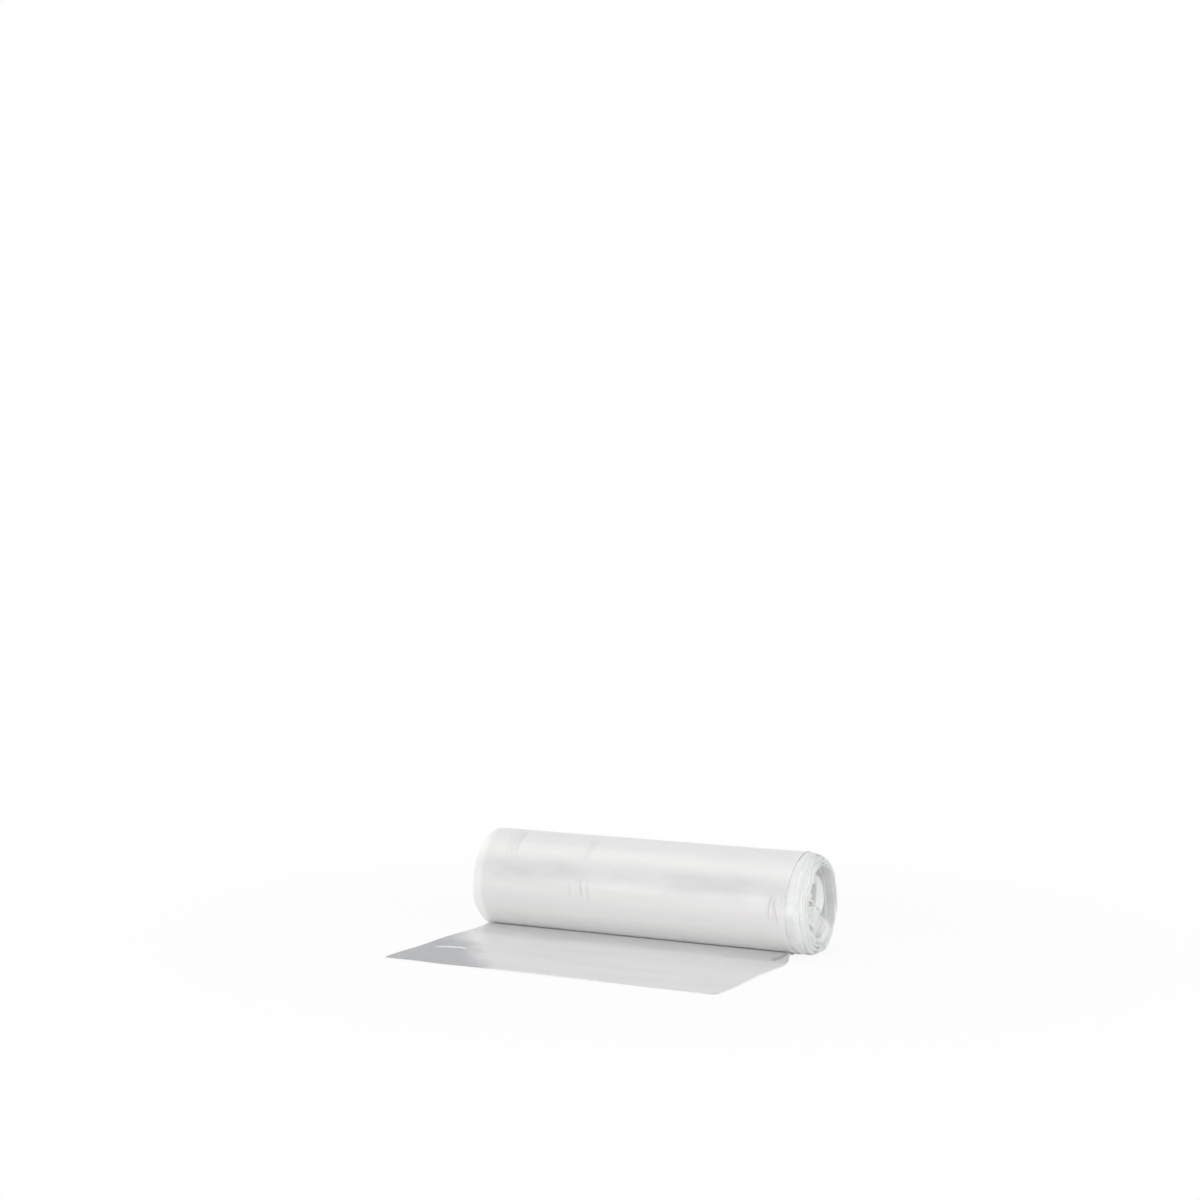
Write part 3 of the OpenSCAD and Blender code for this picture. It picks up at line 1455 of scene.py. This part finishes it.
@dataclass(frozen=True)
class Studio:
    """A pale table in soft even light, seen from the photograph's place.

    Attributes:
        azimuth: Direction that the camera looks from, round from -Y towards +X.
        elevation: How far it looks down.
        camera_roll: How far it is turned about its own axis.
        distance: Its distance from the target.
        target: The place that it looks at.
        lens: Its focal length in millimetres.
        sensor: Width of its sensor in millimetres.
        floor_size: Length of the table's side.
        floor_colour: Colour of the table.
        white_share: Share of plain white that the camera sees in the table round the roll.
        white_from: Distances from the roll at which the table starts to turn white, and has.
        fill: Strength of the even light from all round.
        lamps: The softboxes.
    """

    azimuth: float = math.radians(26.2095)
    elevation: float = math.radians(1.4318)
    camera_roll: float = math.radians(0.6605)
    distance: float = 1.4085
    target: tuple[float, float, float] = (-0.08263, 0.08587, 0.20659)
    lens: float = 62.912
    sensor: float = 36.0
    floor_size: float = 6.0
    floor_colour: Colour = (0.9, 0.9, 0.9, 1.0)
    white_share: float = 0.88
    white_from: Spot = (0.16, 0.5)
    fill: float = 0.692
    lamps: tuple[Softbox, ...] = (
        Softbox("top_softbox", (-0.15, -0.25, 1.25), 1.3, 4.0),
        Softbox("front_softbox", (-0.45, -1.7, 0.22), 0.6, 8.1),
        Softbox("end_softbox", (1.35, -0.7, 0.22), 0.5, 6.2),
    )

    def set_camera(self) -> None:
        """Makes the camera, at the photograph's viewing angle."""
        back = Vector((math.sin(self.azimuth) * math.cos(self.elevation),
                       -math.cos(self.azimuth) * math.cos(self.elevation),
                       math.sin(self.elevation)))
        level = (-back).to_track_quat("-Z", "Y").to_matrix()
        turned = level @ Matrix.Rotation(self.camera_roll, 3, "Z")
        data = bpy.data.cameras.new("camera")
        data.sensor_width, data.lens = self.sensor, self.lens
        camera = linked("camera", data)
        place = Vector(self.target) + back * self.distance
        camera.matrix_world = Matrix.Translation(place) @ turned.to_4x4()
        bpy.context.scene.camera = camera

    def seen_white(self, graph: Graph) -> Value:
        """Returns which rays should find a white background.

        Args:
            graph: The graph of the world or of a material.

        Returns:
            1 for those rays, and 0 for the others.
        """
        path = graph.node("ShaderNodeLightPath")
        camera, glossy, through = (
            Value(graph, path.outputs[f"Is {kind} Ray"])
            for kind in ("Camera", "Glossy", "Transmission"))
        return camera.highest(glossy).highest(through)

    def set_world(self) -> None:
        """Sets an even fill light, which the camera sees as white."""
        world = bpy.data.worlds.new("studio")
        world.use_nodes = True
        graph = Graph(world.node_tree)
        strength = self.seen_white(graph) * (1 - self.fill) + self.fill
        background = graph.node("ShaderNodeBackground", None, Color=WHITE, Strength=strength)
        graph.node("ShaderNodeOutputWorld", None, Surface=background.outputs[0])
        bpy.context.scene.world = world

    def set_floor(self) -> None:
        """Lays the table, pale, with the roll's soft shadow kept on it."""
        mesh = bmesh.new()
        bmesh.ops.create_grid(mesh, x_segments=1, y_segments=1, size=self.floor_size / 2)
        floor = meshed("table", mesh)
        floor.data.materials.append(self.floor_material())

    def floor_material(self) -> bpy.types.Material:
        """Builds the table's material, of which the camera sees mostly plain white.

        Returns:
            The material.
        """
        made = bpy.data.materials.new("table")
        made.use_nodes = True
        graph = Graph(made.node_tree)
        place = graph.node("ShaderNodeTexCoord").outputs["Object"]
        away = graph.node("ShaderNodeVectorMath", {"operation": "LENGTH"}, in0=place)
        far = graph.between(Value(graph, away.outputs["Value"]), *self.white_from)
        share = far * (1 - self.white_share) + self.white_share
        lit = graph.node("ShaderNodeBsdfDiffuse", None, Color=self.floor_colour)
        white = graph.node("ShaderNodeEmission", None, Color=WHITE, Strength=1.0)
        mix = graph.node("ShaderNodeMixShader", None, in0=self.seen_white(graph) * share,
                         in1=lit.outputs[0], in2=white.outputs[0])
        graph.node("ShaderNodeOutputMaterial", None, Surface=mix.outputs[0])
        return made

    def build(self) -> None:
        """Sets up the camera, the light and the table."""
        bpy.context.scene.view_settings.view_transform = "Standard"
        self.set_camera()
        for lamp in self.lamps:
            lamp.hang()
        self.set_world()
        self.set_floor()


def main() -> None:
    """Builds the studio and the roll, and reports each piece."""
    logging.basicConfig(level=logging.INFO, format="%(message)s")
    Studio().build()
    low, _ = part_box(NODE)
    winding = Winding()
    outer = FilmFinish(
        "outer_film", loose=(0.775, 0.775, 0.775, 1.0),
        # A darker band along the roll's body, and painted shadow of the roll on the loose end just in
        # front of it
        bands_and_painted_shadow=((0.1330, 13 * MILLI, 0.52), (-0.0290, 17 * MILLI, 0.6)),
        painted_crease_light=(
            # A painted highlight along a small ridge near the loose end's -X edge
            PaintedCreaseLight(start=(-0.0965, -0.0938), end=(-0.0745, -0.0880), reach=2.0 * MILLI,
                        colour=(0.84, 0.85, 0.86, 1.0)),
            # The painted shadow of a small fold at the loose end's +X edge, by the roll
            PaintedCreaseLight(start=(0.0950, -0.0370), end=(0.1045, -0.0120), reach=1.1 * MILLI,
                        colour=(0.40, 0.41, 0.42, 1.0)),
        ))
    wound = FilmFinish(
        "wound_film", light=(0.88, 0.905, 0.89, 1.0), shade=(0.77, 0.795, 0.78, 1.0))
    # The well and the bud take a paler copy of the film: painted light, standing for light that comes
    # through the film into the well
    inner = FilmFinish(
        "inner_film", light=(0.95, 0.97, 0.95, 1.0), shade=(0.89, 0.91, 0.89, 1.0))
    start = FilmFinish(
        "start_film", light=(0.97, 0.96, 0.91, 1.0), shade=(0.92, 0.91, 0.86, 1.0))
    web = OuterWeb("outer_web", winding, loose_length=-low.y)
    firm = WoundTurns("firm_turns", winding, first_turn=web.turns, last_turn=22.0, facets=96)
    well = WoundTurns("well_turns", winding, first_turn=22.0, last_turn=38.0, facets=80)
    bud = WoundTurns("bud_turns", winding, first_turn=38.0, last_turn=76.0, facets=72,
                     wander=0.5 * MILLI)
    parts = [(web, outer), (firm, wound), (well, inner), (bud, inner),
             (CrumpledStart("crumpled_start", winding), start)]
    for part, finish in parts:
        piece = part.build(finish)
        triangles = sum(len(face.vertices) - 2 for face in piece.data.polygons)
        LOG.info("%s: %d triangles", piece.name, triangles)


if __name__ == "__main__":
    main()
